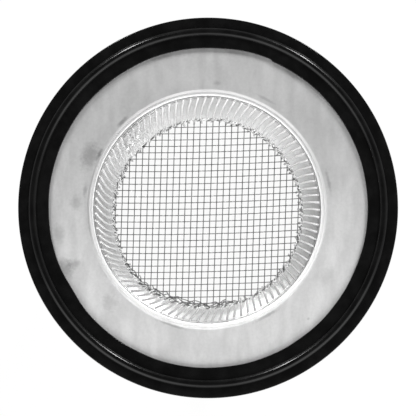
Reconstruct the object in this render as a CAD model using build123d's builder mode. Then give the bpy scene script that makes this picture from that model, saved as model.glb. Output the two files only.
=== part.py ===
from build123d import *
import os
from math import cos, pi, tan

# Sanitary clamp gasket with a deep strainer sock of woven wire.
# A rubber ring with a bead on both faces is moulded round the edge of a flat stainless plate.
# A short sleeve is welded in the plate's hole, and the sock hangs from the sleeve.
# The part stands on the sock's closed end, with the origin at the middle of its underside.
# +Z points from that end to the plate. Sizes are in millimetres.

# Rubber ring, the standard one for a clamp joint on 100 mm tube
gasket_bore = 100.0
rubber_face_width = 9.5
bead_inset = 5.0
bead_height = 1.35
bead_sides = 10
rubber_cover = 1.2
rubber_edge_chamfer = 0.3

# Stainless plate, gripped in the rubber, with a raised lip round its hole
plate_thickness = 1.2
plate_grip = 3.0
plate_land = 12.7
lip_width = 0.9
lip_height = 0.8
lip_bevel = 0.3
lip_foot_width = 0.8

# Sleeve in the plate's hole, with the cloth inside it
sleeve_thickness = 0.4
sleeve_drop = 6.0
sleeve_clearance = 0.05

# Wire cloth of the sock: each strand stands for a few wires of the finer real cloth
sock_depth = 100.0
wire = 0.36
strand_width = 0.8
open_columns = 20
open_rows = 6
cloth_setback = 0.6
seam_azimuth = 130.0
fold_width = 5.0

# Cloth disc that closes the sock, with its edge crimped into a rim
end_strand_pitch = 6.0
end_rim_width = 1.2
end_clearance = 0.05

# Radii from the rubber inwards
bore_radius = gasket_bore / 2
bead_circle_radius = bore_radius + bead_inset
plate_outer_radius = bore_radius + plate_grip
lip_outer_radius = bore_radius - plate_land
plate_hole_radius = lip_outer_radius - lip_width
sleeve_inner_radius = plate_hole_radius - sleeve_thickness
cloth_radius = sleeve_inner_radius - sleeve_clearance - wire
cloth_inner_radius = cloth_radius - wire
fold_inner_radius = cloth_inner_radius - fold_width

# Levels from the sock's underside upwards
fold_top = wire
end_middle = fold_top + wire
end_top = end_middle + wire
plate_top = end_top + sock_depth
plate_bottom = plate_top - plate_thickness
plate_middle = plate_top - plate_thickness / 2
lip_top = plate_top + lip_height
sleeve_bottom = plate_bottom - sleeve_drop
cloth_top = lip_top - cloth_setback
rubber_top = plate_top + rubber_cover
rubber_bottom = plate_bottom - rubber_cover

# The wall is a many-sided tube: a strand at each corner, straight hoop stretches between the
# strands, and one side closed by the lap seam, where the cloth's two edges lie on each other.
side_count = open_columns + 1
side_turn = 360 / side_count
first_corner = seam_azimuth + side_turn / 2
wall_side_distance = cloth_radius * cos(pi / side_count)
wall_side_length = 2 * wall_side_distance * tan(pi / side_count)
row_pitch = (cloth_top - strand_width) / open_rows
hoop_levels = [strand_width / 2 + row * row_pitch for row in range(open_rows + 1)]

# The end disc follows the wall's sides, clear of the seam's double cloth
end_side_distance = wall_side_distance - wire - end_clearance
end_open_distance = end_side_distance - end_rim_width
strands_each_side = int(end_open_distance / end_strand_pitch)
end_offsets = [end_strand_pitch * (i + 0.5) for i in range(-strands_each_side, strands_each_side)]


def wall_polygon(side_distance, mode=Mode.ADD):
    """A polygon whose sides lie along the wall's sides, this far from the axis."""
    RegularPolygon(
        side_distance, side_count, major_radius=False, rotation=first_corner, align=None, mode=mode
    )


def woven_edge(levels, first_side, middle, reach):
    """Points of a strand's edge, which swings to the other side of the middle at each crossing."""
    swings = [wire / 2 if (i + first_side) % 2 else -wire / 2 for i in range(len(levels))]
    return [(middle + reach + swing, level) for swing, level in zip(swings, levels)]


def wall_strand_outline(first_side):
    """Side view of a lengthwise strand: a woven upright, and a foot turned in under the end disc."""
    levels = [0, *hoop_levels[1:-1], cloth_top]
    outer_edge = woven_edge(levels, first_side, cloth_radius, wire / 2)
    inner_edge = woven_edge(levels, first_side, cloth_radius, -wire / 2)
    heel = (inner_edge[0][0], fold_top)
    toe = [(fold_inner_radius, fold_top), (fold_inner_radius, 0)]
    return [*outer_edge, *reversed(inner_edge[1:]), heel, *toe]


def end_strand_outline(first_side):
    """Side view of an end strand that weaves over and under the straight ones."""
    crossings = [-end_side_distance, *end_offsets, end_side_distance]
    top_edge = woven_edge(crossings, first_side, end_middle, wire / 2)
    low_edge = woven_edge(crossings, first_side, end_middle, -wire / 2)
    return [(along, height) for height, along in [*top_edge, *reversed(low_edge)]]


# Rubber ring: one moulding with a rounded bead above and below, and a groove for the plate's edge
with BuildPart() as gasket_ring:
    with BuildSketch(Plane.XZ):
        with Locations((bore_radius, rubber_bottom)):
            Rectangle(rubber_face_width, rubber_top - rubber_bottom, align=(Align.MIN, Align.MIN))
        outer_corners = vertices().group_by(Axis.X)[-1]
        chamfer(outer_corners, rubber_edge_chamfer)
        with Locations((bead_circle_radius, rubber_top), (bead_circle_radius, rubber_bottom)):
            RegularPolygon(bead_height, bead_sides, major_radius=False)
        with Locations((bore_radius, plate_middle)):
            Rectangle(plate_grip, plate_thickness, align=(Align.MIN, Align.CENTER), mode=Mode.SUBTRACT)
    revolve(axis=Axis.Z)

# Plate: a flat ring whose hole has a lip, raised on a tapered foot and bevelled at its crest
with BuildPart() as plate:
    with BuildSketch(Plane.XZ):
        with BuildLine():
            Polyline(
                (plate_hole_radius, plate_bottom),
                (plate_outer_radius, plate_bottom),
                (plate_outer_radius, plate_top),
                (lip_outer_radius + lip_foot_width, plate_top),
                (lip_outer_radius, lip_top - lip_bevel),
                (lip_outer_radius - lip_bevel, lip_top),
                (plate_hole_radius, lip_top),
                close=True,
            )
        make_face()
    revolve(axis=Axis.Z)

# Sleeve: a thin tube flush with the lip, which carries the cloth below the plate
with BuildPart() as sleeve:
    with BuildSketch(Plane.XY.offset(sleeve_bottom)):
        Circle(plate_hole_radius)
        Circle(sleeve_inner_radius, mode=Mode.SUBTRACT)
    extrude(amount=lip_top - sleeve_bottom)

# The two lengthwise strands of a plain weave, one starting inside the lowest hoop and one outside
wall_strands = []
for first_side in (0, 1):
    with BuildPart() as wall_strand:
        with BuildSketch(Plane.XZ):
            with BuildLine():
                Polyline(*wall_strand_outline(first_side), close=True)
            make_face()
        extrude(amount=strand_width / 2, both=True)
    wall_strands.append(wall_strand.part)

# Wall of the sock: hoops with strands woven in and out of them, and the lap seam's double cloth
with BuildPart() as sock_wall:
    for level in hoop_levels:
        with BuildSketch(Plane.XY.offset(level)):
            wall_polygon(wall_side_distance + wire / 2)
            wall_polygon(wall_side_distance - wire / 2, mode=Mode.SUBTRACT)
        extrude(amount=strand_width / 2, both=True)
    for first_side, strand in enumerate(wall_strands):
        turns = [first_corner + side_turn * i for i in range(first_side, side_count, 2)]
        with Locations(*[Location((0, 0, 0), (0, 0, turn)) for turn in turns]):
            add(strand)
    with BuildSketch(Plane.XY):
        with PolarLocations(wall_side_distance, 1, start_angle=seam_azimuth):
            Rectangle(2 * wire, wall_side_length)
    extrude(amount=cloth_top)

# End of the sock: straight strands one way, woven strands the other, and a rim round them
with BuildPart() as sock_end:
    with BuildSketch(Plane.XY.offset(end_middle)):
        with Locations(*[(0, offset) for offset in end_offsets]):
            Rectangle(2 * end_side_distance, strand_width)
    extrude(amount=wire / 2, both=True)
    for i, offset in enumerate(end_offsets):
        with BuildSketch(Plane.YZ.offset(offset)):
            with BuildLine():
                Polyline(*end_strand_outline(i), close=True)
            make_face()
        extrude(amount=strand_width / 2, both=True)
    with BuildSketch(Plane.XY.offset(fold_top)):
        wall_polygon(end_side_distance - end_rim_width / 2)
    extrude(amount=end_top - fold_top, mode=Mode.INTERSECT)
    with BuildSketch(Plane.XY.offset(fold_top)):
        wall_polygon(end_side_distance)
        wall_polygon(end_open_distance, mode=Mode.SUBTRACT)
    extrude(amount=end_top - fold_top)

os.makedirs("parts", exist_ok=True)

gasket_ring.part.label = "gasket_ring"
plate.part.label = "plate"
sleeve.part.label = "sleeve"
sock_wall.part.label = "sock_wall"
sock_end.part.label = "sock_end"

export_step(gasket_ring.part, "parts/gasket_ring.step")
export_step(plate.part, "parts/plate.step")
export_step(sleeve.part, "parts/sleeve.step")
export_step(sock_wall.part, "parts/sock_wall.step")
export_step(sock_end.part, "parts/sock_end.step")
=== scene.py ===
import bpy
import numpy as np
from mathutils import Matrix, Vector


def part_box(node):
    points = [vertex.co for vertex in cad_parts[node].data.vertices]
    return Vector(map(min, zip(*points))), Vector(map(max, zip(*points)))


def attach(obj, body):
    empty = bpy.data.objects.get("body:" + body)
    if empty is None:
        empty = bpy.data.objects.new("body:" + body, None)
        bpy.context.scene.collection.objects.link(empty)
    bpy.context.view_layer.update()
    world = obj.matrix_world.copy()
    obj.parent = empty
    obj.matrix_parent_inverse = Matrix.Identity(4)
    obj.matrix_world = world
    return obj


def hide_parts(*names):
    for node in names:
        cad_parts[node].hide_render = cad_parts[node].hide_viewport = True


# Looks of a sanitary clamp gasket with a strainer sock of woven wire.
# Lengths are in millimetres until a mesh is made, and azimuths are in degrees, counterclockwise
# from +X as seen from above.
MM = 0.001

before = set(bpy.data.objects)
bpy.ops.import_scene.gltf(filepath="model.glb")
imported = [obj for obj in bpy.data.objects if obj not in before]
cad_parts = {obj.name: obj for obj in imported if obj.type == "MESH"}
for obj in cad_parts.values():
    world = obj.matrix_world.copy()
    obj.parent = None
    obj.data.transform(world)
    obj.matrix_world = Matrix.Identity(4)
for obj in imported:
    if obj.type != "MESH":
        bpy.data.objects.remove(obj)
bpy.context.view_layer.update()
rng = np.random.default_rng(23)


def levels(node):
    """Lowest and highest level of a solid."""
    low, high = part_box(node)
    return low.z / MM, high.z / MM


# Rubber ring
bore_radius = 50.0
rubber_radius = 59.5
rubber_cover = 1.2
bead_radius = 55.0
bead_height = 1.35
rubber_edge_round = 0.3
bore_edge_round = 0.12
rubber_ovality = 0.001

# The rubber's edge at the bore is uneven, cut back in one stretch and hanging over in another
bore_uneven_width = 1.5
bore_unevenness = 0.10
cut_back_depth = 0.45
cut_back_start, cut_back_end = 66, 84
overhang_depth = 0.40
overhang_azimuth, overhang_spread = 210, 7

# Plate, lip and sleeve
plate_thickness = 1.2
plate_radius = 53.0
lip_foot_radius = 37.7
lip_foot_height = 0.12
lip_crest_radius = 36.78
lip_crest_drop = 0.22
lip_round = 0.3
lip_groove_drop = 0.12
lip_edge_drop = 0.06
lip_bright_radius = 36.8
lip_dull_radius = 37.5
plate_rise_radius = 45.0
plate_wave_radius = 46.0
plate_wave_height = 0.04
plate_hole_radius = 36.05
groove_radius = plate_hole_radius + 0.15
sleeve_inner_radius = 35.65

# The hole and what hangs in it lie off centre, and the plate takes this up between two radii
hole_shift = (-0.30, -0.60)
shift_full_radius = 40.0
shift_end_radius = 48.0

# Wire cloth: sizes are the wires' thicknesses, and a crimp is how far a woven wire swings
lengthwise_size = 0.72
hoop_size = 0.44
end_wire_size = 0.35
hem_wire_size = 0.42
cloth_pitch = 2.367
wall_points_each_pitch = 3
end_points_each_pitch = 5
cloth_radius = 35.15
cloth_setback = 0.3
first_hoop_drop = 0.3
lengthwise_crimp = 0.40
hoop_crimp = 0.05
lengthwise_wires = 95
lengthwise_turn = 360 / lengthwise_wires
lengthwise_jitter = 0.12
seam_start = 121.0
seam_lap = 19.0
lap_inset = 1.4 * hoop_size
lap_inset_start, lap_inset_width = 350, 12
lap_end_gap = 0.3
fold_bend = 0.9
fold_reach = 0.8
fold_reach_spread = (-0.3, 0.7)
foot_skew_spread = (-1.2, 1.6)
wall_flare = 1.0
wall_unevenness = 0.18
mouth_flare, mouth_height = 0.25, 3
hoop_unevenness = 0.15
weld_height = 1.4
weld_reach = 0.5
crimped_length_spread = (0.8, 2.6)
crimped_lift_spread = (0.3, 1.1)
hem_sway = 0.35

# Where the sock's wall was bulged, dented, crumpled and hooked sideways: azimuths and spreads
bulge_azimuth, bulge_spread = 226, 15
dent_azimuth, dent_spread = 180, 22
crumple_azimuth, crumple_spread = 138, 10
hook_azimuth, hook_spread = 182, 28
bulge_depth = 1.3
hem_bulge_depth = 1.2
dent_depth = 0.45
crumple_depth = 0.55
crumple_degrees = 0.7
hook_degrees = 2.6

# Levels, from the solids
plate_bottom, lip_top = levels("plate")
sleeve_bottom, _ = levels("sleeve")
cloth_top = lip_top - cloth_setback
end_bottom, end_top = levels("sock_end")
plate_top = plate_bottom + plate_thickness
rubber_top = plate_top + rubber_cover
rubber_bottom = plate_bottom - rubber_cover
end_level = (end_bottom + end_top) / 2
lip_crest_level = lip_top - lip_crest_drop
first_hoop_level = cloth_top - first_hoop_drop


# Meshes


def unit(vectors):
    """Vectors scaled to length one."""
    return vectors / np.linalg.norm(vectors, axis=-1, keepdims=True)


def polar(radius, azimuth, level):
    """Points from a radius, an azimuth in degrees and a level, any of which may be arrays."""
    turn = np.radians(azimuth)
    x, y = radius * np.cos(turn), radius * np.sin(turn)
    return np.stack(np.broadcast_arrays(x, y, level), axis=-1)


def wobble(azimuth, waves, depth_phase=0.0):
    """A smooth, uneven wave round the part: about -1 to 1, from (turns, phase) pairs."""
    turn = np.radians(azimuth)
    return sum(np.sin(count * turn + phase + depth_phase) for count, phase in waves) / len(waves)


def hump(azimuth, middle, spread):
    """A smooth hump, 1 high, round one azimuth."""
    return np.exp(-(((azimuth - middle) / spread) ** 2))


def add_piece(name, vertices, faces, material, slot, *replaced):
    """A smooth-shaded mesh piece that stands for some of the solids."""
    mesh = bpy.data.meshes.new(name)
    mesh.from_pydata((np.asarray(vertices) * MM).tolist(), [], faces)
    mesh.polygons.foreach_set("use_smooth", [True] * len(mesh.polygons))
    mesh.set_sharp_from_angle(angle=np.radians(50))
    mesh.materials.append(material)
    piece = bpy.data.objects.new(name, mesh)
    bpy.context.scene.collection.objects.link(piece)
    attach(piece, "root")
    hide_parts(*replaced)
    return piece


def arc(centre, radius, start, end, count):
    """Points of a section's round, from one angle to another."""
    angles = np.radians(np.linspace(start, end, count))
    return [(centre[0] + radius * np.cos(a), centre[1] + radius * np.sin(a)) for a in angles]


def revolve(section, segments, shape=None):
    """Turns a closed section, listed counterclockwise, round the axis. Shape may bend it."""
    section = np.array(section)
    azimuth = np.linspace(0, 360, segments, endpoint=False)[:, None]
    radius = section[:, 0][None, :] + 0 * azimuth
    level = section[:, 1][None, :] + 0 * azimuth
    if shape:
        radius, level = shape(radius, azimuth, level)
    vertices = polar(radius, azimuth, level).reshape(-1, 3)
    count = len(section)
    step, spot = np.meshgrid(np.arange(segments), np.arange(count), indexing="ij")
    here, ahead = step * count, (step + 1) % segments * count
    beside = (spot + 1) % count
    faces = np.stack([here + spot, ahead + spot, ahead + beside, here + beside], axis=-1)
    return vertices, faces.reshape(-1, 4).tolist()


def sweep(paths, size, sides=8, blunt_share=0.6):
    """Round wires with blunt ends along paths, an array of wires by points by 3."""
    paths = np.asarray(paths, float)
    wires, points = paths.shape[:2]
    tangents = unit(np.gradient(paths, axis=1))
    angles = np.linspace(0, 2 * np.pi, sides, endpoint=False)[None, :, None]
    # The first ring's side is square to the wire and to one slanting direction
    side = np.cross(tangents[:, 0], (0.36, 0.48, 0.8))
    vertices = np.empty((wires, points, sides, 3))
    for i in range(points):
        tangent = tangents[:, i]
        side = unit(side - (side * tangent).sum(-1, keepdims=True) * tangent)
        across = np.cross(tangent, side)
        ring = np.cos(angles) * side[:, None] + np.sin(angles) * across[:, None]
        share = blunt_share if i in (0, points - 1) else 1.0
        vertices[:, i] = paths[:, i][:, None] + share * size / 2 * ring
    first, spot, turn = np.meshgrid(
        np.arange(wires) * points, np.arange(points - 1), np.arange(sides), indexing="ij"
    )
    here, ahead, beside = (first + spot) * sides, (first + spot + 1) * sides, (turn + 1) % sides
    quads = np.stack([here + turn, here + beside, ahead + beside, ahead + turn], axis=-1)
    starts = np.arange(wires)[:, None] * points * sides + np.arange(sides)[None, ::-1]
    ends = starts[:, ::-1] + (points - 1) * sides
    faces = quads.reshape(-1, 4).tolist() + starts.tolist() + ends.tolist()
    return vertices.reshape(-1, 3), faces


def with_hole(mesh):
    """A mesh whose middle is moved with the hole, which lies a little off centre."""
    vertices, faces = mesh
    radius = np.linalg.norm(vertices[:, :2], axis=1)
    share = np.clip((shift_end_radius - radius) / (shift_end_radius - shift_full_radius), 0, 1)
    vertices[:, :2] += share[:, None] * hole_shift
    return vertices, faces


def join(parts):
    """One mesh from several, each a pair of vertices and faces."""
    vertices, faces, count = [], [], 0
    for part_vertices, part_faces in parts:
        vertices.append(part_vertices)
        faces += [[corner + count for corner in face] for face in part_faces]
        count += len(part_vertices)
    return np.concatenate(vertices), faces


# Materials


def add_node(tree, kind, inputs=None, **settings):
    """A node with its settings and inputs; an input is a value or another node's output."""
    made = tree.nodes.new(kind)
    for name, value in settings.items():
        setattr(made, name, value)
    for socket, value in (inputs or {}).items():
        if isinstance(value, bpy.types.NodeSocket):
            tree.links.new(value, made.inputs[socket])
        else:
            made.inputs[socket].default_value = value
    return made


def new_material(name, **shader_values):
    """A node material with only its shader, and the object's own coordinates in metres."""
    material = bpy.data.materials.new(name)
    material.use_nodes = True
    tree = material.node_tree
    shader = tree.nodes["Principled BSDF"]
    for socket, value in shader_values.items():
        shader.inputs[socket.replace("_", " ")].default_value = value
    place = add_node(tree, "ShaderNodeTexCoord").outputs["Object"]
    return material, tree, shader, place


def noise(tree, place, size, detail=3.0, roughness=0.5):
    """Cloudy variation from 0 to 1 whose patches are about this many millimetres across."""
    inputs = {"Vector": place, "Scale": 1 / (size * MM), "Detail": detail, "Roughness": roughness}
    return add_node(tree, "ShaderNodeTexNoise", inputs).outputs["Fac"]


def remap(tree, value, low, high, to_low, to_high):
    """A value stretched from one range to another, and kept inside it."""
    inputs = {"Value": value, "From Min": low, "From Max": high}
    inputs |= {"To Min": to_low, "To Max": to_high}
    return add_node(tree, "ShaderNodeMapRange", inputs, interpolation_type="SMOOTHSTEP").outputs[0]


def tint(tree, amount, dark, pale):
    """A colour between two, each a grey value, an RGB triple or a node's output."""
    # A colour mixer's two colours are its inputs 6 and 7
    colours = [(value,) * 3 if isinstance(value, float) else value for value in (dark, pale)]
    colours = [(*value, 1) if isinstance(value, tuple) else value for value in colours]
    inputs = {0: amount, 6: colours[0], 7: colours[1]}
    return add_node(tree, "ShaderNodeMix", inputs, data_type="RGBA").outputs[2]


def calculate(tree, operation, first, second, third=0.0):
    """The result of one calculation on single values."""
    inputs = {0: first, 1: second, 2: third}
    return add_node(tree, "ShaderNodeMath", inputs, operation=operation).outputs[0]


def times(tree, first, second):
    """The product of a colour or vector with another, or with a single value."""
    inputs = {0: first, 1: second}
    return add_node(tree, "ShaderNodeVectorMath", inputs, operation="MULTIPLY").outputs[0]


def vector_length(tree, vector):
    """A vector's length."""
    return add_node(tree, "ShaderNodeVectorMath", {0: vector}, operation="LENGTH").outputs["Value"]


def dot(tree, first, second):
    """The dot product of two vectors."""
    inputs = {0: first, 1: second}
    return add_node(tree, "ShaderNodeVectorMath", inputs, operation="DOT_PRODUCT").outputs["Value"]


def bump(tree, shader, height, distance):
    """Fine relief, this many millimetres deep."""
    relief = add_node(tree, "ShaderNodeBump", {"Height": height, "Distance": distance * MM})
    tree.links.new(relief.outputs["Normal"], shader.inputs["Normal"])


def make_rubber():
    """Moulded black rubber: satin, with a faint cloudy bloom and a fine mould grain."""
    material, tree, shader, place = new_material("black_rubber", Specular_IOR_Level=0.19)
    bloom = noise(tree, place, 6.0, detail=5.0, roughness=0.65)
    colour = tint(tree, remap(tree, bloom, 0.35, 0.7, 0.0, 1.0), 0.0015, 0.0035)
    tree.links.new(colour, shader.inputs["Base Color"])
    tree.links.new(remap(tree, bloom, 0.3, 0.7, 0.16, 0.22), shader.inputs["Roughness"])
    bump(tree, shader, noise(tree, place, 0.5, detail=2.0), 0.003)
    return material


# Stains on the plate, and narrow bands of painted shade along the lip's foot (radii 37.9 to 39.1
# mm) and along the rubber's edge (radii 49.3 to 49.4 mm): azimuth, radius, and sizes across and
# along the ring in mm, with a strength
plate_stains_and_painted_shade = (
    (156, 40.3, 3.6, 5.5, 0.30),
    (135, 38.0, 0.9, 2.6, 0.38),
    (154, 37.9, 0.7, 2.2, 0.45),
    (172, 38.9, 0.8, 3.0, 0.25),
    (178, 41.5, 2.2, 2.8, 0.18),
    (203, 48.8, 3.0, 4.4, 0.32),
    (203, 45.8, 3.0, 2.0, 0.24),
    (224, 42.6, 3.2, 3.4, 0.16),
    (221, 39.6, 1.4, 4.0, 0.10),
    (190, 47.5, 2.2, 4.0, 0.17),
    (252, 38.5, 0.6, 6.0, 0.28),
    (299, 38.5, 0.6, 5.5, 0.24),
    (312, 46.8, 0.5, 0.6, 0.22),
    (12, 38.6, 0.7, 5.0, 0.26),
    (86, 39.1, 1.0, 1.6, 0.20),
    (62, 38.5, 0.6, 4.0, 0.20),
    (57, 49.3, 1.0, 5.0, 0.18),
    (80, 49.4, 0.9, 5.0, 0.15),
    (107, 49.4, 1.0, 5.0, 0.20),
    (330, 43.0, 2.6, 4.5, 0.07),
)
stain_height = 10.0

# Painted light: the plate grows paler from one of these y positions to the other
painted_light_start_y, painted_light_end_y = 32.0, -32.0


def make_plate_steel():
    """Pickled sheet steel: a soft grey with clouds, faint strokes, stains and painted shade, paler
    to one side by painted light.
    """
    material, tree, shader, place = new_material("stainless_plate", Metallic=1.0)
    across = add_node(tree, "ShaderNodeSeparateXYZ", {0: place})
    radius = vector_length(tree, times(tree, place, (1, 1, 0)))
    cloud = noise(tree, place, 9.0, detail=5.0, roughness=0.65)
    # Painted light: the plate is made paler towards -Y
    side = remap(tree, across.outputs["Y"], painted_light_start_y * MM, painted_light_end_y * MM, 0.0, 1.0)
    amount = calculate(tree, "MULTIPLY_ADD", cloud, 0.6, side)
    tone = tint(tree, remap(tree, amount, 0.0, 1.5, 0.0, 1.0), 0.44, 0.655)

    # Strokes of the surface's rubbing, in two directions
    for turn in (35, -50):
        inputs = {0: place, "Rotation": (0, 0, np.radians(turn)), "Scale": (1, 0.30, 1)}
        along_strokes = add_node(tree, "ShaderNodeMapping", inputs).outputs[0]
        stroke = noise(tree, along_strokes, 3.4, detail=5.0)
        tone = times(tree, tone, remap(tree, stroke, 0.35, 0.65, 0.92, 1.0))

    grain = noise(tree, place, 0.8, detail=2.0)
    tone = times(tree, tone, remap(tree, grain, 0.3, 0.7, 0.95, 1.0))

    # Each stain or band of painted shade is an oval with a ragged edge
    ragged = noise(tree, place, 1.6, detail=4.0, roughness=0.7)
    for azimuth, stain_radius, size_across, size_along, strength in plate_stains_and_painted_shade:
        turn = np.radians(azimuth)
        spot = (stain_radius * np.cos(turn) * MM, stain_radius * np.sin(turn) * MM, plate_top * MM)
        size = (size_across * MM, size_along * MM, stain_height * MM)
        inputs = {0: place, "Location": spot, "Rotation": (0, 0, turn), "Scale": size}
        own = add_node(tree, "ShaderNodeMapping", inputs, vector_type="TEXTURE").outputs[0]
        uneven = calculate(tree, "MULTIPLY_ADD", ragged, 1.1, vector_length(tree, own))
        tone = times(tree, tone, remap(tree, uneven, 0.75, 1.65, 1 - strength, 1.0))

    # The lip is dressed brighter than the plate, and carries painted light that makes it paler
    # towards -Y
    away = remap(tree, radius, lip_bright_radius * MM, lip_dull_radius * MM, 0.0, 1.0)
    lip_tone_with_painted_light = tint(tree, side, 0.48, 0.80)
    tree.links.new(tint(tree, away, lip_tone_with_painted_light, tone), shader.inputs["Base Color"])
    tree.links.new(remap(tree, cloud, 0.3, 0.7, 0.70, 0.60), shader.inputs["Roughness"])
    bump(tree, shader, noise(tree, place, 0.25, detail=2.0), 0.004)
    return material


def make_bright_steel():
    """Bright steel of the sleeve, lightly streaked."""
    material, tree, shader, place = new_material("bright_stainless", Metallic=1.0)
    streaks = noise(tree, place, 2.0, detail=3.0)
    tree.links.new(tint(tree, streaks, 0.78, 0.84), shader.inputs["Base Color"])
    tree.links.new(remap(tree, streaks, 0.3, 0.7, 0.60, 0.70), shader.inputs["Roughness"])
    bump(tree, shader, noise(tree, place, 0.4), 0.004)
    return material


# Where the wires' painted light and shade change on the far side and the near side, as y positions
far_start_y, far_end_y = 10, 28
near_start_y, near_end_y = -12, -26


def make_wire_steel(name, tones, roughness, metallic=1.0, painted_shade_outside=0.0, outer_tone=0.30):
    """Drawn steel wire whose tones are painted light and shade: those of the far side, middle,
    near side and low down.

    The faces that look away from the axis can carry painted shade.
    """
    material, tree, shader, place = new_material(name, Metallic=metallic)
    far, middle, near, low = tones
    across = add_node(tree, "ShaderNodeSeparateXYZ", {0: place}).outputs
    # Painted light and shade: the tone changes from the far side to the near side and towards the
    # floor
    far_share = remap(tree, across["Y"], far_start_y * MM, far_end_y * MM, 0.0, 1.0)
    tone = tint(tree, far_share, middle, far)
    near_share = remap(tree, across["Y"], near_start_y * MM, near_end_y * MM, 0.0, 1.0)
    tone = tint(tree, near_share, tone, near)
    low_share = remap(tree, across["Z"], plate_top * MM, 0.0, 0.0, 1.0)
    tone = tint(tree, low_share, tone, low)
    # Painted shade on the faces that look away from the axis
    facing = add_node(tree, "ShaderNodeTexCoord").outputs["Normal"]
    outwards = dot(tree, times(tree, place, (1, 1, 0)), facing)
    outside = remap(tree, outwards, 8 * MM, 26 * MM, 0.0, painted_shade_outside)
    tone = tint(tree, outside, tone, outer_tone)
    patches = noise(tree, place, 1.6, detail=4.0, roughness=0.65)
    tone = times(tree, tone, remap(tree, patches, 0.3, 0.7, 0.84, 1.0))
    tree.links.new(tone, shader.inputs["Base Color"])
    tree.links.new(remap(tree, patches, 0.3, 0.7, *roughness), shader.inputs["Roughness"])
    bump(tree, shader, noise(tree, place, 0.6), 0.002)
    return material


black_rubber = make_rubber()
plate_steel = make_plate_steel()
bright_steel = make_bright_steel()
# One drawn steel wire in painted tones: the lengthwise wires bright as painted highlights, the
# hoops darker and the end disc dark as painted shade, the hem bright as painted highlights
warp_steel = make_wire_steel(
    "wire_warp", (0.98, 0.98, 0.42, 0.98), (0.10, 0.20), metallic=0.4, painted_shade_outside=1.0
)
weft_steel = make_wire_steel("wire_weft", (0.46, 0.56, 0.80, 0.86), (0.30, 0.38), painted_shade_outside=1.0)
end_steel = make_wire_steel("wire_end", (0.24, 0.24, 0.24, 0.24), (0.30, 0.42))
hem_steel = make_wire_steel("wire_hem", (0.98, 0.98, 0.86, 0.98), (0.24, 0.34), metallic=0.4)


# Rubber ring, plate and sleeve


def rubber_shape(radius, azimuth, level):
    """A moulding that is slightly oval, with an uneven edge at the bore."""
    oval = 1 - rubber_ovality * (1 + np.cos(np.radians(2 * azimuth)))
    near_bore = np.clip((bore_radius + bore_uneven_width - radius) / bore_uneven_width, 0, 1)
    uneven = bore_unevenness * wobble(azimuth, ((3, 0.4), (7, 2.1), (12, 4.0), (23, 1.0)))
    sharp_end = np.clip((azimuth - cut_back_start) / 1.2, 0, 1)
    soft_end = np.clip((cut_back_end - azimuth) / 12, 0, 1)
    overhang = overhang_depth * hump(azimuth, overhang_azimuth, overhang_spread)
    moved = uneven + cut_back_depth * (sharp_end * soft_end) - overhang
    return radius * oval + near_bore * moved, level


# Corners and rounds of the section. The points between them keep the flats' shading even.
bore_side = bore_radius + bore_edge_round
outer_side = rubber_radius - rubber_edge_round
edge_point_height = 1.2
outer_flat_radius = 57.6
inner_flat_radii = (52.6, 51.5, 50.8)
rubber_section = [
    *arc((bore_side, rubber_bottom + bore_edge_round), bore_edge_round, 180, 270, 4),
    *[(radius, rubber_bottom) for radius in inner_flat_radii[1::-1]],
    *arc((bead_radius, rubber_bottom), bead_height, 180, 360, 17),
    (outer_flat_radius, rubber_bottom),
    *arc((outer_side, rubber_bottom + rubber_edge_round), rubber_edge_round, 270, 360, 5),
    (rubber_radius, rubber_bottom + edge_point_height),
    (rubber_radius, rubber_top - edge_point_height),
    *arc((outer_side, rubber_top - rubber_edge_round), rubber_edge_round, 0, 90, 5),
    (outer_flat_radius, rubber_top),
    *arc((bead_radius, rubber_top), bead_height, 0, 180, 25),
    *[(radius, rubber_top) for radius in inner_flat_radii],
    *arc((bore_side, rubber_top - bore_edge_round), bore_edge_round, 90, 180, 4),
    (bore_radius, plate_top),
    (plate_radius, plate_top),
    (plate_radius, plate_bottom),
    (bore_radius, plate_bottom),
]
rubber_ring = revolve(rubber_section, 480, rubber_shape)
add_piece("rubber_ring", *rubber_ring, black_rubber, "black_rubber", "gasket_ring")


def plate_shape(radius, azimuth, level):
    """A thin plate that is slightly wavy near its welded lip, and drawn up a little towards it."""
    near_lip = np.clip((plate_wave_radius - radius) / 8, 0, 1) * np.clip((radius - 36) / 2, 0, 1)
    wave = plate_wave_height * near_lip
    wave = wave * wobble(azimuth, ((5, 0.3), (9, 1.7), (14, 3.9), (27, 5.0)))
    rise_width = plate_rise_radius - lip_foot_radius
    drawn_up = np.clip((plate_rise_radius - radius) / rise_width, 0, 1)
    on_plate = (radius >= lip_foot_radius) & (level > plate_bottom + 0.1)
    return radius, level + wave + lip_foot_height * drawn_up**2 * on_plate


def lip_slope(count=12):
    """Points down the lip's outer side, which runs out gently onto the plate."""
    share = np.linspace(0, 1, count)
    fall = (1 - np.cos(np.pi * share)) / 2
    radius = lip_foot_radius - (lip_foot_radius - lip_crest_radius) * share
    height = lip_crest_level - plate_top - lip_foot_height
    return list(zip(radius[1:], plate_top + lip_foot_height + height * fall[1:]))


# The lip and the sleeve's edge are dressed to one rim, with a shallow groove along their joint
plate_section = [
    (plate_hole_radius, plate_bottom),
    *[(radius, plate_bottom) for radius in np.linspace(37.5, plate_radius, 8)],
    *[(radius, plate_top) for radius in np.linspace(plate_radius, lip_foot_radius, 24)],
    *lip_slope(),
    *arc((lip_crest_radius, lip_crest_level - lip_round), lip_round, 95, 150, 5),
    (groove_radius, lip_crest_level - lip_groove_drop),
    (plate_hole_radius + 0.01, lip_crest_level - lip_edge_drop),
]
plate = with_hole(revolve(plate_section, 512, plate_shape))
add_piece("plate_with_lip", *plate, plate_steel, "stainless_plate", "plate")

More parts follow.
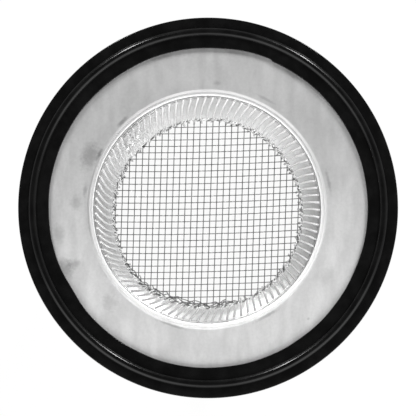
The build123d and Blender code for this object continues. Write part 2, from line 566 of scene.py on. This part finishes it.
sleeve_round = (plate_hole_radius - sleeve_inner_radius) / 2
sleeve_crest = (sleeve_inner_radius + sleeve_round, lip_top - sleeve_round)
sleeve_section = [
    (sleeve_inner_radius, sleeve_bottom),
    (plate_hole_radius, sleeve_bottom),
    *[(plate_hole_radius, level) for level in (sleeve_bottom + 3, plate_bottom, lip_top - 0.3)],
    *arc(sleeve_crest, sleeve_round, 0, 180, 10),
    *[(sleeve_inner_radius, level) for level in (plate_bottom, sleeve_bottom + 4)],
]
sleeve = with_hole(revolve(sleeve_section, 512))
add_piece("sleeve_tube", *sleeve, bright_steel, "bright_stainless", "sleeve")


# Wall of the sock


# How far the lengthwise wires lean on their way down, in degrees, and how early they do it
lean_azimuths = (0, 60, 110, 150, 185, 220, 290)
lean_degrees = (2.7, 3.3, 3.6, 4.8, 6.8, 4.9, 2.8)
lean_bow = (1.6, 2.2, 2.0, 2.4, 2.9, 2.0, 1.2)


def wall_surface(azimuth, level):
    """Radius and azimuth of the wall's middle, for a place on the cloth before it was bent."""
    down = np.clip((cloth_top - level) / cloth_top, 0, 1)
    lean = np.interp(azimuth, lean_azimuths, lean_degrees, period=360)
    bow = np.interp(azimuth, lean_azimuths, lean_bow, period=360)
    hook = hook_degrees * hump(azimuth % 360, hook_azimuth, hook_spread) * down**3
    turned = azimuth + lean * (1 - (1 - down) ** bow) - hook
    around = turned % 360
    bulge = bulge_depth * hump(around, bulge_azimuth, bulge_spread) * down**3
    dent = dent_depth * hump(around, dent_azimuth, dent_spread) * np.sin(np.pi * down) ** 2
    uneven = wobble(turned, ((4, 1.0), (7, 3.0), (11, 0.5)), depth_phase=4 * down)
    uneven = wall_unevenness * uneven * down

    # A crumpled patch near the seam, all but its lowest part
    crumple = np.sin(np.pi * np.clip(1.3 * down, 0, 1))
    crumple = crumple * hump(around, crumple_azimuth, crumple_spread)
    turned = turned + crumple_degrees * crumple * np.sin(level / 3.1 + 0.9 * azimuth)
    uneven = uneven + crumple_depth * crumple * np.sin(level / 4.4 + 1.7 * azimuth)

    # The seam's lap lies inside the rest, and the cloth widens at its end and its mouth
    lapped = np.clip((azimuth - seam_start - lap_inset_start) / lap_inset_width, 0, 1)
    near_mouth = np.clip((level - cloth_top + mouth_height) / mouth_height, 0, 1)
    flare = wall_flare * down**4 + mouth_flare * near_mouth
    radius = cloth_radius + flare + bulge - dent + uneven - lap_inset * lapped
    return radius, turned


def lengthwise_paths(numbers, has_foot=True):
    """Wires that run down the wall, woven past the hoops, and turn in under the end disc."""
    azimuth = seam_start + lengthwise_turn * numbers[:, None]
    azimuth = azimuth + rng.uniform(-lengthwise_jitter, lengthwise_jitter, azimuth.shape)
    lowest = hoop_size + fold_bend if has_foot else end_top + lap_end_gap
    points = int((cloth_top - lowest) / cloth_pitch * wall_points_each_pitch)
    level = np.linspace(cloth_top, lowest, points)[None, :] + 0 * azimuth
    crossing = (first_hoop_level - level) / cloth_pitch
    weave = lengthwise_crimp * np.cos(np.pi * (crossing + numbers[:, None]))
    radius, turned = wall_surface(azimuth, level)
    welded = np.clip((level - cloth_top + weld_height) / weld_height, 0, 1)
    wall = polar(radius + weave * (1 - welded) + weld_reach * welded, turned, level)
    if not has_foot:
        return wall

    # The foot: a bend, then a cut end that lies under the disc a little askew
    bend = np.radians(np.linspace(15, 90, 6))[None, :]
    end_radius, end_turned = radius[:, -1:], turned[:, -1:]
    bend_radius = end_radius - fold_bend * (1 - np.cos(bend))
    bend_level = lengthwise_size / 2 + fold_bend * (1 - np.sin(bend))
    turned_in = polar(bend_radius, end_turned, bend_level)
    reach = fold_reach + rng.uniform(*fold_reach_spread, end_turned.shape)
    skew = rng.uniform(*foot_skew_spread, end_turned.shape)
    share = np.linspace(0.15, 1, 6)[None, :]
    foot_radius = end_radius - fold_bend - reach * share
    foot = polar(foot_radius, end_turned + skew * share, lengthwise_size / 2)
    return np.concatenate([wall, turned_in, foot], axis=1)


def hoop_paths(numbers):
    """Wires that run round the wall, from one edge of the lap seam to the other."""
    reach = 360 + seam_lap
    points = int(lengthwise_wires * reach / 360 * wall_points_each_pitch) + 1
    azimuth = seam_start - 1 + np.linspace(0, reach, points)[None, :]
    number = numbers[:, None]
    level = first_hoop_level - cloth_pitch * number
    uneven = wobble(azimuth, ((3, 0.2), (8, 1.4), (17, 2.9)), depth_phase=number)
    level = level + hoop_unevenness * uneven
    crossing = (azimuth - seam_start) / lengthwise_turn
    weave = -hoop_crimp * np.cos(np.pi * (crossing + number))
    radius, turned = wall_surface(azimuth, level)
    return polar(radius + weave, turned, level)


lowest_hoop_level = 1.9
hoop_count = int((cloth_top - lowest_hoop_level) / cloth_pitch) + 1
all_wires = lengthwise_wires + int(seam_lap / 360 * lengthwise_wires)
for start, word in enumerate(("odd", "even")):
    round_wires = lengthwise_paths(np.arange(start, lengthwise_wires, 2))
    lap_wires = lengthwise_paths(np.arange(lengthwise_wires + start, all_wires, 2), has_foot=False)
    wires = join([sweep(round_wires, lengthwise_size), sweep(lap_wires, hoop_size)])
    add_piece(f"wall_wires_{word}", *with_hole(wires), warp_steel, "wire_cloth", "sock_wall")
    hoops = sweep(hoop_paths(np.arange(start, hoop_count, 2)), hoop_size)
    add_piece(f"wall_hoops_{word}", *with_hole(hoops), weft_steel, "wire_cloth", "sock_wall")


# End of the sock

# The disc's two sets of wires are slanted, and stand off the middle by a share of the pitch
end_radius = 35.8
shortest_half = 3.0
warp_slope, weft_slope, weft_curve = 0.0336, 0.0244, 0.0005
warp_shift, weft_shift = 0.35, -0.21


def end_wire(number, is_warp):
    """A wire of the end disc: straight and woven, with both ends bent into the crimped edge."""
    shift = warp_shift if is_warp else weft_shift
    offset = (number + shift) * cloth_pitch
    half = np.sqrt(max(end_radius**2 - offset**2, 0))
    if half < shortest_half:
        return None
    along = np.linspace(-half, half, int(2 * half / cloth_pitch * end_points_each_pitch))
    if is_warp:
        x, y = offset + warp_slope * along, along
        crossing = (y - weft_slope * x - weft_curve * x**2) / cloth_pitch - weft_shift
        weave = -1
    else:
        x, y = along, offset + weft_slope * along + weft_curve * along**2
        crossing = (x - warp_slope * y) / cloth_pitch - warp_shift
        weave = 1
    height = end_level + weave * end_wire_size / 2 * np.cos(np.pi * (crossing + number))
    body = np.stack([x, y, height], axis=-1)
    first_end, last_end = crimped_end(body[0], body[1]), crimped_end(body[-1], body[-2])
    return np.concatenate([first_end[::-1], body, last_end])


def crimped_end(tip, before):
    """The bent tip of an end wire: it turns up and sideways along the wall."""
    heading = unit((tip - before) * (1, 1, 0))
    outward = unit(tip * (1, 1, 0))
    sideways = np.cross((0, 0, 1), outward)
    sideways = sideways * (1 if sideways @ heading + rng.uniform(-0.4, 0.4) > 0 else -1)
    length = rng.uniform(*crimped_length_spread)
    lift = rng.uniform(*crimped_lift_spread)
    corner = tip + 0.25 * heading + (0, 0, 0.15)
    goal = corner + length * (0.8 * sideways - 0.06 * length * outward) + (0, 0, lift)
    share = np.linspace(0.15, 1, 7)[:, None]
    return (1 - share) ** 2 * tip + 2 * share * (1 - share) * corner + share**2 * goal


half_count = int(end_radius / cloth_pitch) + 1
for is_warp, word in ((True, "warp"), (False, "weft")):
    paths = [end_wire(number, is_warp) for number in range(-half_count, half_count + 1)]
    wires = join([sweep([path], end_wire_size) for path in paths if path is not None])
    add_piece(f"end_{word}", *with_hole(wires), end_steel, "wire_cloth", "sock_end")


def rim_strand(strand, radius, level, twists, spread, start=0, end=362):
    """One strand of the hem, where the cut wires are twisted round each other along the edge."""
    azimuth = np.linspace(start, end, 5 * (end - start))
    turn = 2 * np.pi * (twists * azimuth / 360 + strand / 3)
    turn = turn + 1.4 * wobble(azimuth, ((9, 0.3), (23, 2.0), (41, strand)))
    width = spread * (1 + 0.45 * wobble(azimuth, ((6, strand), (19, 1.0), (33, 2 * strand))))
    bulge = hem_bulge_depth * hump(azimuth % 360, bulge_azimuth, bulge_spread)
    sway = hem_sway * wobble(azimuth, ((4, 1.0), (11, 0.2), (17, 2.4)))
    strand_radius = radius + bulge + sway + width * np.cos(turn)
    return polar(strand_radius, azimuth, level + width * np.sin(turn))


# The same cut wire is painted dark in one strand and bright in two: painted shade and painted
# highlights
for strand, steel in enumerate((end_steel, hem_steel, hem_steel)):
    path = rim_strand(strand, radius=35.5, level=1.6, twists=58, spread=0.56)
    hem = with_hole(sweep([path], hem_wire_size))
    add_piece(f"hem_strand_{strand + 1}", *hem, steel, "wire_cloth", "sock_end")

# The cloth is folded wider on one side, where loose strands lie inside the hem. Each has its
# radius, its twists in a full turn, and the azimuths of its ends.
loose_strands = (
    (35.2, 43, 208, 292),
    (34.6, 38, 214, 290),
    (34.0, 47, 222, 286),
    (33.4, 35, 232, 282),
)
loose_hem = []
for strand, (radius, twists, start, end) in enumerate(loose_strands):
    path = rim_strand(strand, radius, 1.3, twists, spread=0.42, start=start, end=end)
    loose_hem.append(sweep([path], end_wire_size))
add_piece("hem_loose", *with_hole(join(loose_hem)), end_steel, "wire_cloth", "sock_end")


# Floor, lamps and camera


def make_floor(reach=4.0, white_share=0.95):
    """A pale floor that shows white to the camera and in the metal, and keeps a soft shadow."""
    mesh = bpy.data.meshes.new("floor")
    corners = [(-reach, -reach, 0), (reach, -reach, 0), (reach, reach, 0), (-reach, reach, 0)]
    mesh.from_pydata(corners, [], [(0, 1, 2, 3)])
    floor = bpy.data.objects.new("floor", mesh)
    bpy.context.scene.collection.objects.link(floor)
    material = bpy.data.materials.new("floor")
    material.use_nodes = True
    tree = material.node_tree
    tree.nodes.clear()
    paint = add_node(tree, "ShaderNodeBsdfDiffuse", {"Color": (0.8, 0.8, 0.8, 1)})
    glow = add_node(tree, "ShaderNodeEmission", {"Color": (1, 1, 1, 1), "Strength": 1.0})
    light_path = add_node(tree, "ShaderNodeLightPath")
    seen = light_path.outputs["Is Camera Ray"]
    for ray in ("Is Glossy Ray", "Is Transmission Ray"):
        seen = calculate(tree, "MAXIMUM", seen, light_path.outputs[ray])
    share = calculate(tree, "MULTIPLY", seen, white_share)
    inputs = {0: share, 1: paint.outputs[0], 2: glow.outputs[0]}
    blend = add_node(tree, "ShaderNodeMixShader", inputs)
    add_node(tree, "ShaderNodeOutputMaterial", {"Surface": blend.outputs[0]})
    mesh.materials.append(material)


# Where the studio is darkest and where its windows are: azimuths and elevations
dark_azimuth, dark_elevation = 118, 65
window_azimuths, window_elevation = (236, 306), 26


def make_world(pale=0.80, dark=0.15, window=2.6):
    """A studio that is pale low down, dark beyond the zenith, with two windows on the near side."""
    world = bpy.data.worlds.new("studio")
    bpy.context.scene.world = world
    world.use_nodes = True
    tree = world.node_tree
    direction = add_node(tree, "ShaderNodeTexCoord").outputs["Generated"]

    def nearness(azimuth, elevation):
        """Cosine of the angle to a direction, given in degrees."""
        turn, rise = np.radians(azimuth), np.radians(elevation)
        way = (np.cos(rise) * np.cos(turn), np.cos(rise) * np.sin(turn), np.sin(rise))
        return dot(tree, direction, way)

    near_dark = nearness(dark_azimuth, dark_elevation)
    brightness = remap(tree, near_dark, 0.25, 0.93, pale, dark)
    for azimuth in window_azimuths:
        glow = remap(tree, nearness(azimuth, window_elevation), 0.78, 0.97, 0.0, window)
        brightness = calculate(tree, "ADD", brightness, glow)
    background = tree.nodes["Background"]
    background.inputs["Color"].default_value = (1, 1, 1, 1)
    tree.links.new(brightness, background.inputs["Strength"])


def add_softbox(name, azimuth, elevation, distance, width, height, power):
    """A soft lamp that faces the middle of the plate."""
    data = bpy.data.lights.new(name, "AREA")
    data.shape = "RECTANGLE"
    data.size, data.size_y, data.energy = width, height, power
    lamp = bpy.data.objects.new(name, data)
    bpy.context.scene.collection.objects.link(lamp)
    aim = Vector((0, 0, plate_top * MM))
    turn, rise = np.radians(azimuth), np.radians(elevation)
    way = Vector((np.cos(turn) * np.cos(rise), np.sin(turn) * np.cos(rise), np.sin(rise)))
    lamp.location = aim + distance * way
    lamp.rotation_euler = (-way).to_track_quat("-Z", "Y").to_euler()


camera_height = 500.0
camera_place = Vector((0.9, -8.4, rubber_top + camera_height)) * MM
camera_aim = Vector((-0.015, -0.15, rubber_top)) * MM


def make_camera():
    """Looks down into the sock, nearly along its axis, with +Y upwards in the picture."""
    data = bpy.data.cameras.new("camera")
    data.sensor_width, data.lens = 36.0, 138.54
    camera = bpy.data.objects.new("camera", data)
    bpy.context.scene.collection.objects.link(camera)
    back = (camera_place - camera_aim).normalized()
    right = Vector((0, 1, 0)).cross(back).normalized()
    up = back.cross(right)
    turned = Matrix((right, up, back)).transposed().to_4x4()
    camera.matrix_world = Matrix.Translation(camera_place) @ turned
    bpy.context.scene.camera = camera


make_floor()
make_world()
for name, azimuth, power in (("right_softbox", 58, 16), ("left_softbox", 116, 14.5)):
    add_softbox(name, azimuth, elevation=32, distance=1.5, width=0.1, height=0.5, power=power)
make_camera()
bpy.context.scene.view_settings.view_transform = "Standard"
